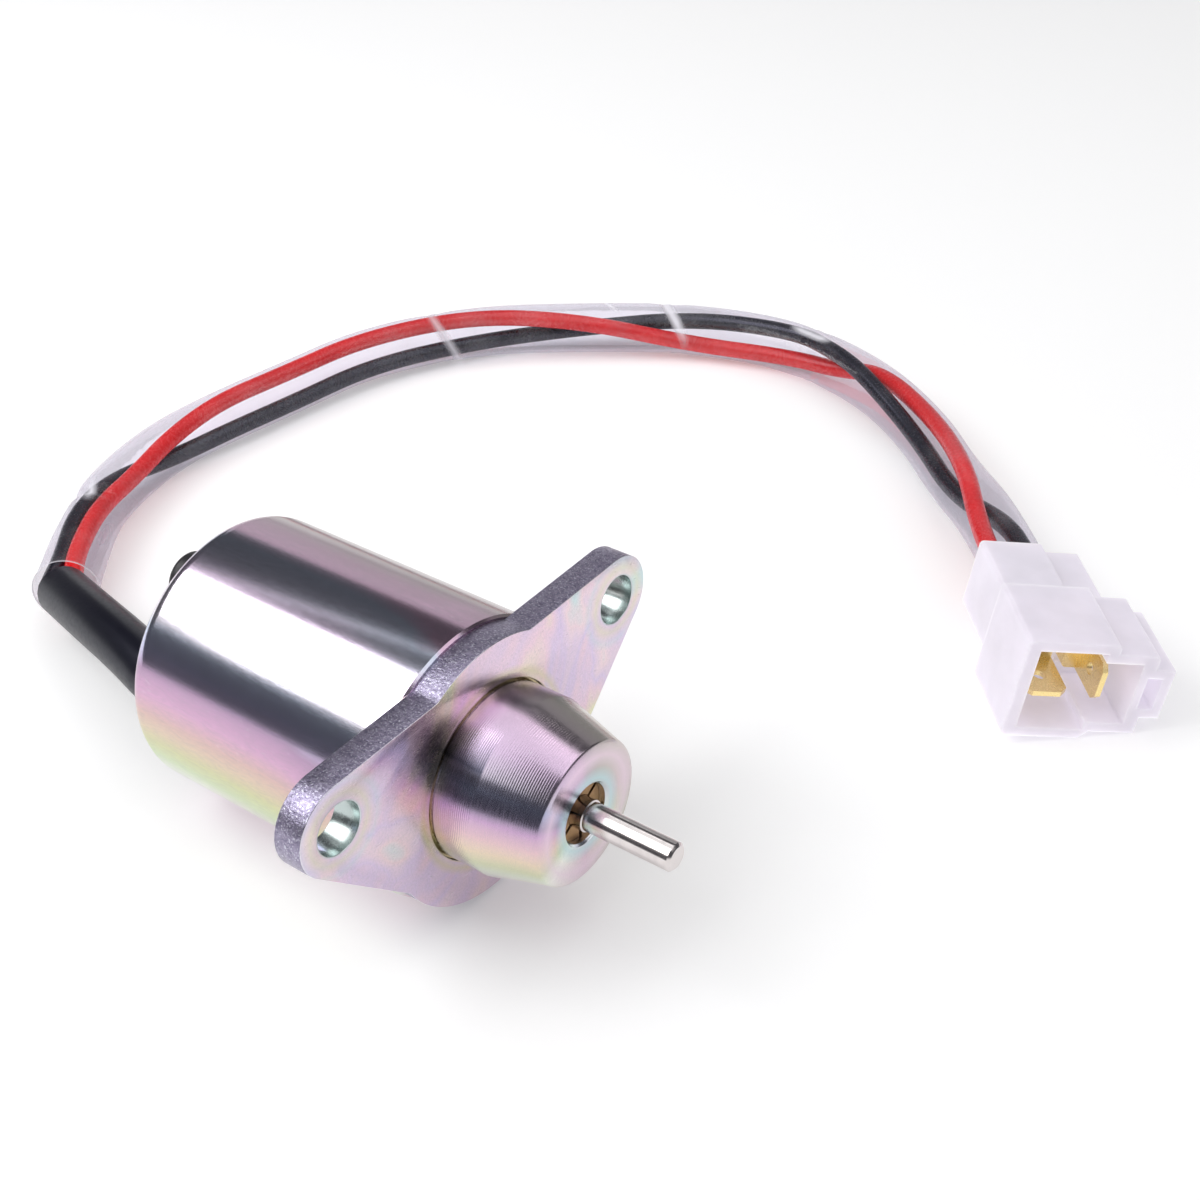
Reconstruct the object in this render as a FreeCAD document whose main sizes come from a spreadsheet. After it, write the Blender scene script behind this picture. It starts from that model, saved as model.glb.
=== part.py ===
import FreeCAD, Part
import math
import os
import re
from types import SimpleNamespace

import Sketcher
from FreeCAD import Placement, Rotation, Vector

# Frame: +X along the push rod towards its free end, +Z up, millimetres.
# The origin is on the rod's axis, in the front face of the mounting flange.

SIZES = {
    "can_diameter": 38.1,
    "can_length": 42.0,
    "can_wall": 1.4,
    "can_rear_round": 2.6,
    "can_rear_rim": 4.15,
    "flange_thickness": 4.0,
    "lobe_radius": 18.5,
    "bolt_spacing": 52.4,
    "bolt_height": 10.3,
    "bolt_hole_radius": 3.4,
    "ear_radius": 6.1,
    "ear_foot_depth": 12.0,
    "lobe_blend": 2.5,
    "edge_break": 0.3,
    "shank_radius": 11.0,
    "pilot_radius": 11.95,
    "pilot_length": 5.8,
    "pilot_seat_depth": 0.6,
    "pilot_relief": 0.45,
    "pilot_root": 0.02,
    "nose_length": 14.4,
    "nose_front_radius": 9.67,
    "nose_chamfer_length": 0.4,
    "nose_chamfer_depth": 0.7,
    "nose_bore_radius": 4.0,
    "nose_seat_depth": 3.0,
    "fit_gap": 0.05,
    "rest_gap": 0.3,
    "bush_recess": 1.2,
    "bush_length": 6.0,
    "bush_slot_width": 0.55,
    "bush_slot_depth": 1.6,
    "bush_slot_count": 6,
    "rod_radius": 1.9,
    "rod_guide_radius": 2.1,
    "rod_step": 15.0,
    "rod_reach": 27.5,
    "rod_chamfer": 0.35,
    "rod_root_depth": 12.0,
    "plunger_radius": 7.45,
    "plunger_web": 3.3,
    "plunger_chamfer": 0.5,
    "stroke": 10.0,
    "washer_thickness": 1.0,
    "washer_bore_radius": 2.7,
    "tube_wall": 0.5,
    "plate_thickness": 2.5,
    "cap_flange": 2.0,
    "cap_proud": 0.8,
    "pole_length": 6.5,
    "spring_recess": 3.0,
    "spring_pocket_radius": 4.2,
    "spring_radius": 3.4,
    "spring_wire_radius": 0.45,
    "spring_turns": 6.0,
    "bobbin_wall": 1.2,
    "bobbin_gap": 0.3,
    "bobbin_rim": 1.5,
    "wrap_thickness": 0.35,
    "fill_nub_radius": 3.8,
    "fill_nub_height": 2.6,
    "fill_nub_setback": 1.99,
    "fill_nub_angle": 106.2,
    "boot_radius": 4.1,
    "boot_exit_margin": 0.19,
    "boot_exit_angle": 219.2,
    "grommet_collar_radius": 5.6,
    "grommet_collar_length": 2.5,
    "grommet_neck_radius": 4.9,
    "wire_radius": 1.55,
    "sleeve_radius": 5.0,
    "sleeve_wall": 0.3,
    "housing_x": 40.8,
    "housing_y": 60.5,
    "housing_yaw": 42.0,
    "shroud_length": 14.0,
    "shroud_width": 22.3,
    "shroud_height": 16.3,
    "shroud_main_width": 13.3,
    "shroud_foot_width": 11.5,
    "shroud_side_width": 19.4,
    "shroud_side_foot": 1.3,
    "shroud_side_drop": 1.5,
    "latch_rib_low": 4.1,
    "latch_rib_high": 12.5,
    "shroud_wall": 1.5,
    "shroud_left_wall": 1.9,
    "cavity_depth": 11.6,
    "shroud_right_wall": 2.0,
    "latch_slot_inset": 0.8,
    "latch_outer_wall": 1.4,
    "latch_slot_depth": 6.0,
    "rear_block_length": 12.0,
    "rear_block_left": 0.4,
    "rear_block_inset": 3.2,
    "rear_step_u": 9.8,
    "rear_step_drop": 1.4,
    "rear_block_low": 4.3,
    "rear_block_drop": 0.7,
    "moulded_round": 0.6,
    "wire_entry_depth": 3.3,
    "wire_entry_gap": 0.35,
    "tab_width": 6.3,
    "tab_thickness": 0.8,
    "tab_tip": 1.8,
    "tab_point": 1.1,
    "tab_hole_radius": 0.95,
    "tab_hole_setback": 3.9,
    "crimp_start": 9.4,
    "crimp_width": 5.6,
    "crimp_height": 3.2,
    "chamber_gap": 0.25,
    "flat_tab_u": 5.7,
    "flat_tab_w": 5.8,
    "upright_tab_u": 13.6,
    "upright_tab_w": 8.2,
    "red_entry_u": 6.6,
    "red_entry_w": 7.6,
    "black_entry_u": 12.2,
    "black_entry_w": 8.2,
}
size = SimpleNamespace(**SIZES)

# Routes of the lead, chosen by hand: millimetres, in the part's own frame.
BOOT_ROUTE = [
    (-43.2, -7.6, -6.2), (-52.4, -7.6, -6.2), (-64.0, -4.2, -6.6), (-78.5, 0.0, -9.0), (-92.0, 4.6, -12.3),
]
SLEEVE_ROUTE = [
    (-92.5, 5.4, -12.7), (-100.4, 14.0, -13.7), (-108.0, 23.9, -14.0), (-112.3, 34.7, -14.0),
    (-114.6, 46.9, -14.0), (-113.6, 59.3, -14.0), (-111.2, 73.1, -14.0), (-108.5, 92.1, -14.0),
    (-96.5, 110.7, -14.0), (-79.6, 123.1, -14.0), (-61.6, 134.4, -14.0), (-41.5, 139.2, -14.0),
    (-21.4, 134.4, -14.0), (-5.2, 124.0, -14.0), (7.3, 111.0, -12.8), (19.5, 100.0, -10.9),
    (30.3, 87.9, -10.9),
]
RED_ROUTE = [
    (-92.0, 6.65, -12.4), (-95.3, 8.85, -12.95), (-99.9, 14.2, -12.3), (-106.3, 24.0, -12.3),
    (-110.8, 35.1, -13.6), (-114.1, 46.9, -12.5), (-114.8, 59.5, -11.5), (-112.5, 73.3, -11.6),
    (-109.3, 92.4, -11.4), (-97.5, 111.7, -11.5), (-79.2, 122.5, -12.3), (-60.8, 132.6, -16.4),
    (-41.4, 138.4, -16.3), (-30.8, 139.0, -16.3), (-20.3, 136.5, -12.6), (-3.8, 125.7, -12.4),
    (8.5, 112.2, -10.6), (17.4, 98.7, -10.3), (23.8, 91.0, -10.7), (30.5, 83.5, -10.7),
]
BLACK_ROUTE = [
    (-93.3, 3.05, -12.4), (-96.1, 4.92, -12.9), (-100.9, 10.9, -14.0), (-109.6, 21.6, -13.2),
    (-114.9, 34.0, -14.9), (-114.6, 46.9, -17.0), (-111.9, 59.1, -16.2), (-110.0, 72.9, -16.5),
    (-106.5, 91.3, -15.9), (-96.3, 110.5, -16.3), (-81.0, 125.2, -15.3), (-62.7, 137.1, -13.3),
    (-41.7, 140.6, -11.8), (-31.1, 137.5, -11.8), (-22.2, 132.9, -12.0), (-5.8, 123.3, -15.3),
    (7.5, 111.2, -16.1), (21.0, 101.9, -11.5), (28.0, 94.7, -11.1), (34.7, 87.3, -11.1),
]
ARC_SHARE = 0.45

doc = FreeCAD.newDocument("FuelShutoffSolenoid")
sheet = doc.addObject("Spreadsheet::Sheet", "Sizes")
for row, (alias, value) in enumerate(SIZES.items(), start=1):
    sheet.set(f"A{row}", str(value))
    sheet.setAlias(f"A{row}", alias)
doc.recompute()

sub_parts = []


def bound(formula):
    # A formula in size names, as an expression on the sheet.
    return re.sub(r"\b[a-z][a-z_]*\b(?!\()", lambda word: f"Sizes.{word.group()}", formula)


def labelled(thing, node, placement=None):
    thing.Label = node
    if placement is not None:
        thing.Placement = placement
    sub_parts.append(thing)
    return thing


def new_body(node, placement=None):
    return labelled(doc.addObject("PartDesign::Body", node), node, placement)


def new_sketch(body, plane, offset=None):
    sketch = body.newObject("Sketcher::SketchObject", "Sketch")
    origin_plane = next(item for item in body.Origin.OriginFeatures if item.Role == plane)
    sketch.AttachmentSupport = [(origin_plane, "")]
    sketch.MapMode = "FlatFace"
    if offset is not None:
        sketch.setExpression("AttachmentOffset.Base.z", bound(offset))
    return sketch


def draw_outline(sketch, corners):
    # A closed outline of straight lines, each corner held by two bound distances.
    count = len(corners)
    first = sketch.GeometryCount
    ring = [Vector(math.cos(math.tau * i / count), math.sin(math.tau * i / count), 0) for i in range(count)]
    sketch.addGeometry([Part.LineSegment(ring[i], ring[(i + 1) % count]) for i in range(count)], False)
    for i in range(count):
        sketch.addConstraint(Sketcher.Constraint("Coincident", first + i, 2, first + (i + 1) % count, 1))
    for i, corner in enumerate(corners):
        for kind, start, formula in zip(("DistanceX", "DistanceY"), ring[i], corner):
            index = sketch.addConstraint(Sketcher.Constraint(kind, -1, 1, first + i, 1, start))
            sketch.setExpression(f"Constraints[{index}]", bound(formula))


def draw_circle(sketch, across, up, radius):
    index = sketch.addGeometry(Part.Circle(Vector(1, 1, 0), Vector(0, 0, 1), 1), False)
    for kind, formula in (("DistanceX", across), ("DistanceY", up)):
        held = sketch.addConstraint(Sketcher.Constraint(kind, -1, 1, index, 3, 1))
        sketch.setExpression(f"Constraints[{held}]", bound(formula))
    held = sketch.addConstraint(Sketcher.Constraint("Radius", index, 1))
    sketch.setExpression(f"Constraints[{held}]", bound(radius))


def add_pad(body, sketch, length, backwards=False):
    pad = body.newObject("PartDesign::Pad", "Pad")
    pad.Profile = sketch
    pad.setExpression("Length", bound(length))
    pad.Reversed = backwards
    doc.recompute()
    return pad


def add_pocket(body, sketch, length, backwards=False):
    before = body.Shape.Volume
    pocket = body.newObject("PartDesign::Pocket", "Pocket")
    pocket.Profile = sketch
    pocket.setExpression("Length", bound(length))
    pocket.Reversed = backwards
    doc.recompute()
    if body.Shape.Volume >= before:
        raise RuntimeError(f"{body.Label}: a pocket removes nothing")
    return pocket


def dress(body, kind, amount, choose):
    # A fillet or chamfer on the edges of the body that the rule chooses.
    base = body.Tip
    names = [f"Edge{i}" for i, edge in enumerate(base.Shape.Edges, start=1) if choose(edge)]
    feature = body.newObject(f"PartDesign::{kind}", kind)
    feature.Base = (base, names)
    feature.setExpression("Radius" if kind == "Fillet" else "Size", bound(amount))
    doc.recompute()
    return feature


def turned(node, profile, placement=None):
    # A piece turned about the X axis, from an outline of (along the axis, radius) corners.
    body = new_body(node, placement)
    sketch = new_sketch(body, "XY_Plane")
    draw_outline(sketch, profile)
    turning = body.newObject("PartDesign::Revolution", "Turning")
    turning.Profile = sketch
    turning.ReferenceAxis = (sketch, ["H_Axis"])
    turning.Angle = 360
    doc.recompute()
    return body


def ring(node, start, end, inner, outer):
    return turned(node, [(start, inner), (end, inner), (end, outer), (start, outer)])


def is_circle(edge):
    return isinstance(edge.Curve, Part.Circle) and abs(edge.Curve.Axis.x) > 0.99


def runs_along(edge, axis):
    if not isinstance(edge.Curve, Part.Line):
        return False
    return abs(edge.Curve.Direction.dot(axis)) > 0.999


# Stations along the axis, as formulas: the can hangs behind the flange.
can_front = "(-flange_thickness)"
can_rear = f"({can_front} - can_length)"
cap_back = f"({can_rear} - cap_proud)"
cap_seat = f"({can_rear} + can_wall)"
cap_front = f"({cap_seat} + cap_flange)"
rear_plate_front = f"({cap_front} + plate_thickness)"
front_plate_back = f"({can_front} - plate_thickness)"
pole_face = f"({cap_front} + pole_length)"
tube_front = "(-nose_seat_depth)"
washer_back = f"({tube_front} - washer_thickness)"
plunger_front = f"({washer_back} - rest_gap)"
plunger_rear = f"({pole_face} + rest_gap + stroke)"
rod_root = f"({plunger_front} - rod_root_depth)"
pocket_floor = f"({rod_root} - plunger_web)"

# Radii that follow from a neighbour and the running fit.
can_inner = "(can_diameter / 2 - can_wall)"
inside_can = f"({can_inner} - fit_gap)"
tube_inner = "(plunger_radius + fit_gap)"
tube_outer = f"({tube_inner} + tube_wall)"
round_tube = f"({tube_outer} + fit_gap)"
barrel_outer = f"({round_tube} + bobbin_wall)"
opening = "(can_diameter / 2 - can_rear_rim)"
bobbin_radius = f"({inside_can} - bobbin_gap)"
winding_radius = f"({bobbin_radius} - bobbin_rim)"

# The fill nub and the lead's hole keep inside the can's rear opening.
nub_reach = f"({opening} - fill_nub_setback)"
exit_reach = f"({opening} - grommet_neck_radius - boot_exit_margin)"


def make_can():
    can = turned("body_can", [
        (can_front, can_inner), (can_front, "can_diameter / 2"), (can_rear, "can_diameter / 2"),
        (can_rear, opening), (cap_seat, opening), (cap_seat, can_inner),
    ])
    outer_corner = size.can_diameter / 2
    rear = -size.flange_thickness - size.can_length
    inner_corner = outer_corner - size.can_wall
    dress(can, "Fillet", "can_rear_round", lambda e: is_circle(e)
          and abs(e.Curve.Radius - outer_corner) < 0.01 and abs(e.Curve.Center.x - rear) < 0.01)
    dress(can, "Fillet", "can_rear_round - can_wall", lambda e: is_circle(e)
          and abs(e.Curve.Radius - inner_corner) < 0.01
          and abs(e.Curve.Center.x - rear - size.can_wall) < 0.01)


def make_flange():
    body = new_body("mounting_flange")
    lobe = new_sketch(body, "YZ_Plane")
    draw_circle(lobe, "0", "0", "lobe_radius")
    add_pad(body, lobe, "flange_thickness", backwards=True)

    # The ears: level along the top, with flanks at 45 degrees down to the lobe.
    top = "(bolt_height + ear_radius)"
    flank = "(bolt_spacing / 2 - bolt_height + ear_radius * sqrt(2))"
    ears = new_sketch(body, "YZ_Plane")
    draw_outline(ears, [
        (f"{top} + {flank}", top), (f"-{top} - {flank}", top),
        (f"ear_foot_depth - {flank}", "-ear_foot_depth"), (f"{flank} - ear_foot_depth", "-ear_foot_depth"),
    ])
    add_pad(body, ears, "flange_thickness", backwards=True)

    tip = size.bolt_height * 2 + size.ear_radius - size.bolt_height
    tip += size.bolt_spacing / 2 - size.bolt_height + size.ear_radius * math.sqrt(2)
    along = Vector(1, 0, 0)
    dress(body, "Fillet", "ear_radius", lambda e: runs_along(e, along)
          and abs(abs(e.CenterOfMass.y) - tip) < 0.01)
    dress(body, "Fillet", "lobe_blend", lambda e: runs_along(e, along)
          and abs(math.hypot(e.CenterOfMass.y, e.CenterOfMass.z) - size.lobe_radius) < 0.01)

    holes = new_sketch(body, "YZ_Plane")
    draw_circle(holes, "bolt_spacing / 2", "bolt_height", "bolt_hole_radius")
    draw_circle(holes, "-bolt_spacing / 2", "bolt_height", "bolt_hole_radius")
    draw_circle(holes, "0", "0", "shank_radius + fit_gap")
    add_pocket(body, holes, "flange_thickness")
    dress(body, "Chamfer", "edge_break", lambda e: abs(e.BoundBox.XLength) < 0.01)
    seat = new_sketch(body, "YZ_Plane")
    draw_circle(seat, "0", "0", "pilot_radius + rest_gap")
    add_pocket(body, seat, "pilot_seat_depth")


def make_nose():
    turned("nose_boss", [
        (front_plate_back, round_tube), (front_plate_back, "shank_radius"),
        ("-pilot_seat_depth", "shank_radius"), ("-pilot_seat_depth", "pilot_radius - pilot_relief"),
        ("-pilot_root", "pilot_radius - pilot_relief"), ("-pilot_root", "pilot_radius"),
        ("pilot_length", "pilot_radius"), ("nose_length - nose_chamfer_length", "nose_front_radius"),
        ("nose_length", "nose_front_radius - nose_chamfer_depth"), ("nose_length", "nose_bore_radius"),
        (tube_front, "nose_bore_radius"), (tube_front, round_tube),
    ])


def make_guide_bush():
    front = "(nose_length - bush_recess)"
    body = turned("guide_bush", [
        (f"{front} - bush_length", "rod_guide_radius + fit_gap"), (front, "rod_guide_radius + fit_gap"),
        (front, "nose_bore_radius - fit_gap / 2"), (f"{front} - bush_length", "nose_bore_radius - fit_gap / 2"),
    ])
    slot = new_sketch(body, "YZ_Plane", offset=f"{front} - bush_slot_depth")
    draw_outline(slot, [
        ("-bush_slot_width / 2", "0"), ("bush_slot_width / 2", "0"),
        ("bush_slot_width / 2", "nose_bore_radius"), ("-bush_slot_width / 2", "nose_bore_radius"),
    ])
    cut = add_pocket(body, slot, "bush_slot_depth", backwards=True)
    pattern = body.newObject("PartDesign::PolarPattern", "Slots")
    pattern.Originals = [cut]
    pattern.Axis = (next(item for item in body.Origin.OriginFeatures if item.Role == "X_Axis"), [""])
    pattern.Angle = 360
    pattern.Occurrences = size.bush_slot_count
    body.Tip = pattern
    doc.recompute()


def make_moving_pieces():
    turned("push_rod", [
        (rod_root, "0"), (rod_root, "rod_guide_radius"), ("rod_step", "rod_guide_radius"),
        ("rod_step", "rod_radius"), ("rod_reach - rod_chamfer", "rod_radius"),
        ("rod_reach", "rod_radius - rod_chamfer"), ("rod_reach", "0"),
    ])
    turned("plunger", [
        (plunger_rear, "spring_pocket_radius"), (plunger_rear, "plunger_radius - plunger_chamfer"),
        (f"{plunger_rear} + plunger_chamfer", "plunger_radius"),
        (f"{plunger_front} - plunger_chamfer", "plunger_radius"),
        (plunger_front, "plunger_radius - plunger_chamfer"), (plunger_front, "rod_guide_radius + fit_gap / 2"),
        (rod_root, "rod_guide_radius + fit_gap / 2"), (rod_root, "0"), (pocket_floor, "0"),
        (pocket_floor, "spring_pocket_radius"),
    ])


def make_magnetic_circuit():
    turned("rear_pole", [
        (cap_front, "0"), (cap_front, "plunger_radius"), (pole_face, "plunger_radius"),
        (pole_face, "spring_pocket_radius"), (f"{pole_face} - spring_recess", "spring_pocket_radius"),
        (f"{pole_face} - spring_recess", "0"),
    ])
    ring("rear_plate", cap_front, rear_plate_front, tube_inner, inside_can)
    ring("front_plate", front_plate_back, can_front, "shank_radius + fit_gap", inside_can)
    ring("guide_tube", rear_plate_front, tube_front, tube_inner, tube_outer)
    ring("stop_washer", washer_back, tube_front, "washer_bore_radius", "plunger_radius")


def make_coil():
    # The bobbin fills the can between the two plates and carries the winding.
    rear_cheek = f"({rear_plate_front} + bobbin_wall)"
    front_cheek = f"({front_plate_back} - bobbin_wall)"
    turned("bobbin", [
        (rear_plate_front, round_tube), (rear_plate_front, bobbin_radius), (rear_cheek, bobbin_radius),
        (rear_cheek, barrel_outer), (front_cheek, barrel_outer), (front_cheek, bobbin_radius),
        (front_plate_back, bobbin_radius), (front_plate_back, round_tube),
    ])
    ring("coil_winding", f"{rear_cheek} + fit_gap", f"{front_cheek} - fit_gap",
         f"{barrel_outer} + fit_gap", winding_radius)
    ring("coil_wrap", f"{rear_cheek} + fit_gap", f"{front_cheek} - fit_gap",
         f"{winding_radius} + fit_gap", f"{winding_radius} + fit_gap + wrap_thickness")


def make_return_spring():
    # It stands between the floors of the pole's recess and the plunger's pocket.
    height = f"({pocket_floor} - {pole_face} + spring_recess - 2 * spring_wire_radius - 2 * rest_gap)"
    start = f"({pole_face} - spring_recess + spring_wire_radius + rest_gap)"
    coil = doc.addObject("Part::Helix", "SpringLine")
    coil.setExpression("Height", bound(height))
    coil.setExpression("Pitch", bound(f"{height} / spring_turns"))
    coil.setExpression("Radius", bound("spring_radius"))
    coil.Placement = Placement(Vector(), Rotation(Vector(0, 1, 0), 90))
    coil.setExpression("Placement.Base.x", bound(start))
    section = doc.addObject("Part::Circle", "SpringSection")
    section.setExpression("Radius", bound("spring_wire_radius"))
    section.setExpression("Placement.Base.x", bound(start))
    section.setExpression("Placement.Base.z", bound("-spring_radius"))
    section.Placement.Rotation = Rotation(Vector(1, 0, 0), 90)
    spring = labelled(doc.addObject("Part::Sweep", "return_spring"), "return_spring")
    spring.Sections = [section]
    spring.Spine = (coil, [])
    spring.Solid = True
    spring.Frenet = True
    doc.recompute()


def make_rear_cap():
    # A moulded cover that snaps through the can's rear opening, with the fill nub and the lead's hole.
    body = turned("rear_cap", [
        (cap_front, "0"), (cap_front, inside_can + " - can_rear_round + can_wall"),
        (cap_seat, inside_can + " - can_rear_round + can_wall"), (cap_seat, f"{opening} - fit_gap"),
        (f"{cap_back} + edge_break", f"{opening} - fit_gap"),
        (cap_back, f"{opening} - fit_gap - edge_break"), (cap_back, "0"),
    ])
    nub = new_sketch(body, "YZ_Plane", offset=can_rear)
    draw_circle(nub, f"{nub_reach} * cos(fill_nub_angle)", f"{nub_reach} * sin(fill_nub_angle)", "fill_nub_radius")
    add_pad(body, nub, "fill_nub_height", backwards=True)
    nub_end = -size.flange_thickness - size.can_length - size.fill_nub_height
    dress(body, "Fillet", "edge_break * 3", lambda e: is_circle(e)
          and abs(e.Curve.Center.x - nub_end) < 0.01)
    lead_hole = new_sketch(body, "YZ_Plane", offset=cap_back)
    across = f"{exit_reach} * cos(boot_exit_angle)"
    up = f"{exit_reach} * sin(boot_exit_angle)"
    draw_circle(lead_hole, across, up, "grommet_neck_radius + fit_gap")
    add_pocket(body, lead_hole, "can_wall + cap_proud + cap_flange", backwards=True)


def make_grommet():
    body = turned("lead_grommet", [
        (cap_front, "boot_radius + fit_gap"), (cap_front, "grommet_neck_radius"),
        (cap_back, "grommet_neck_radius"), (cap_back, "grommet_collar_radius"),
        (f"{cap_back} - grommet_collar_length / 2", "grommet_collar_radius"),
        (f"{cap_back} - grommet_collar_length", "boot_radius + 3 * edge_break"),
        (f"{cap_back} - grommet_collar_length", "boot_radius + fit_gap"),
    ])
    body.setExpression("Placement.Base.y", bound(f"{exit_reach} * cos(boot_exit_angle)"))
    body.setExpression("Placement.Base.z", bound(f"{exit_reach} * sin(boot_exit_angle)"))


def rounded_path(node, route):
    # Straight runs joined by tangent arcs, each as large as its two runs allow.
    points = [Vector(*point) for point in route]
    edges = []
    radii = []
    start = points[0]
    for before, corner, after in zip(points, points[1:], points[2:]):
        run_in = corner - before
        run_out = after - corner
        reach = ARC_SHARE * min(run_in.Length, run_out.Length)
        turn = run_in.getAngle(run_out)
        radius = reach / math.tan(turn / 2)
        to_corner = Vector(run_in).normalize()
        from_corner = Vector(run_out).normalize()
        first = corner - to_corner * reach
        last = corner + from_corner * reach
        middle = corner + (from_corner - to_corner).normalize() * radius * (1 / math.cos(turn / 2) - 1)
        edges.append(Part.LineSegment(start, first).toShape())
        edges.append(Part.Arc(first, middle, last).toShape())
        radii.append(round(radius, 1))
        start = last
    edges.append(Part.LineSegment(start, points[-1]).toShape())
    path = Part.Wire(edges)
    print(node, "length", round(path.Length, 1), "radii", radii)
    return path


def round_rod(path, route, radius):
    direction = Vector(*route[1]) - Vector(*route[0])
    section = Part.Wire(Part.Circle(Vector(*route[0]), direction, radius).toShape())
    rod = path.makePipeShell([section], True, False)
    wanted = math.pi * radius ** 2 * path.Length
    if abs(rod.Volume - wanted) > 0.01 * wanted:
        raise RuntimeError("a swept piece doesn't have the volume of its section times its length")
    return rod


def make_lead(node, route, radius, bore=0.0):
    path = rounded_path(node, route)
    tube = round_rod(path, route, radius)
    if bore:
        tube = tube.cut(round_rod(path, route, bore))
    lead = labelled(doc.addObject("Part::Feature", node), node)
    lead.Shape = tube


def housing_placement():
    # The housing lies on the floor on its foot and on the foot of its side, so it leans a little.
    rise = size.shroud_side_foot
    lean = math.degrees(math.atan2(rise, size.shroud_side_width - size.shroud_foot_width))
    height = -size.can_diameter / 2 + size.shroud_foot_width * math.sin(math.radians(lean))
    turn = Rotation(Vector(0, 0, 1), size.housing_yaw).multiply(Rotation(Vector(0, 1, 0), lean))
    return Placement(Vector(size.housing_x, size.housing_y, height), turn)


def make_housing():
    # Drawn with the mouth in the XZ plane, facing -Y, and placed as a whole.
    body = new_body("connector_housing", housing_placement())
    shroud = new_sketch(body, "XZ_Plane")
    side_top = "(shroud_height - shroud_side_drop)"
    draw_outline(shroud, [
        ("0", "0"), ("shroud_foot_width", "0"), ("shroud_foot_width + 0.9 * shroud_side_foot", "shroud_side_foot"),
        ("shroud_side_width", "shroud_side_foot"), ("shroud_side_width", "latch_rib_low"),
        ("shroud_width", "latch_rib_low"), ("shroud_width", "latch_rib_high"),
        ("shroud_side_width", "latch_rib_high"), ("shroud_side_width", side_top),
        ("shroud_main_width", side_top), ("shroud_main_width", "shroud_height"), ("0", "shroud_height"),
    ])
    add_pad(body, shroud, "shroud_length", backwards=True)
    block = new_sketch(body, "XZ_Plane")
    block_top = "(shroud_height - rear_block_drop)"
    step_top = f"({block_top} - rear_step_drop)"
    block_right = "(shroud_side_width - rear_block_inset)"
    draw_outline(block, [
        ("rear_block_left", "rear_block_low"), (block_right, "rear_block_low"),
        (block_right, step_top), ("rear_step_u + rear_step_drop / 2", step_top),
        ("rear_step_u", block_top), ("rear_block_left", block_top),
    ])
    add_pad(body, block, "shroud_length + rear_block_length", backwards=True)
    block_up = size.shroud_height - size.rear_block_drop
    block_side = size.shroud_side_width - size.rear_block_inset
    rounded = [
        (0, 0), (0, size.shroud_height), (size.shroud_main_width, size.shroud_height),
        (size.shroud_side_width, size.shroud_height - size.shroud_side_drop),
        (size.rear_block_left, size.rear_block_low), (block_side, size.rear_block_low),
        (block_side, block_up - size.rear_step_drop), (size.rear_block_left, block_up),
    ]
    along = Vector(0, 1, 0)
    dress(body, "Fillet", "moulded_round", lambda e: runs_along(e, along) and any(
        math.hypot(e.CenterOfMass.x - u, e.CenterOfMass.z - w) < 0.01 for u, w in rounded))

    cavity = new_sketch(body, "XZ_Plane")
    main_right = "(shroud_main_width - shroud_wall)"
    cavity_right = "(shroud_side_width - shroud_right_wall)"
    draw_outline(cavity, [
        ("shroud_left_wall", "shroud_wall"), (main_right, "shroud_wall"),
        (main_right, "shroud_side_foot + shroud_wall"), (cavity_right, "shroud_side_foot + shroud_wall"),
        (cavity_right, f"{side_top} - shroud_wall"), (main_right, f"{side_top} - shroud_wall"),
        (main_right, "shroud_height - shroud_wall"), ("shroud_left_wall", "shroud_height - shroud_wall"),
    ])
    add_pocket(body, cavity, "cavity_depth")
    latch = new_sketch(body, "XZ_Plane")
    slot_left, slot_right = "(shroud_side_width - latch_slot_inset)", "(shroud_width - latch_outer_wall)"
    draw_outline(latch, [
        (slot_left, "latch_rib_low + shroud_wall"), (slot_right, "latch_rib_low + shroud_wall"),
        (slot_right, "latch_rib_high - shroud_wall"), (slot_left, "latch_rib_high - shroud_wall"),
    ])
    add_pocket(body, latch, "latch_slot_depth")

    # Chambers for the two terminals, one lying and one upright, open to the cavity.
    chambers = new_sketch(body, "XZ_Plane")
    half = "(tab_width / 2 + chamber_gap)"
    draw_outline(chambers, [
        (f"flat_tab_u - {half}", "flat_tab_w - chamber_gap"), (f"flat_tab_u + {half}", "flat_tab_w - chamber_gap"),
        (f"flat_tab_u + {half}", "flat_tab_w + crimp_height + chamber_gap"),
        (f"flat_tab_u - {half}", "flat_tab_w + crimp_height + chamber_gap"),
    ])
    draw_outline(chambers, [
        ("upright_tab_u - crimp_height - chamber_gap", f"upright_tab_w - {half}"),
        ("upright_tab_u + chamber_gap", f"upright_tab_w - {half}"),
        ("upright_tab_u + chamber_gap", f"upright_tab_w + {half}"),
        ("upright_tab_u - crimp_height - chamber_gap", f"upright_tab_w + {half}"),
    ])
    add_pocket(body, chambers, "shroud_length + rear_block_length - wire_entry_depth")
    entries = new_sketch(body, "XZ_Plane")
    draw_circle(entries, "red_entry_u", "red_entry_w", "wire_radius + wire_entry_gap")
    draw_circle(entries, "black_entry_u", "black_entry_w", "wire_radius + wire_entry_gap")
    add_pocket(body, entries, "shroud_length + rear_block_length")


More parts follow.
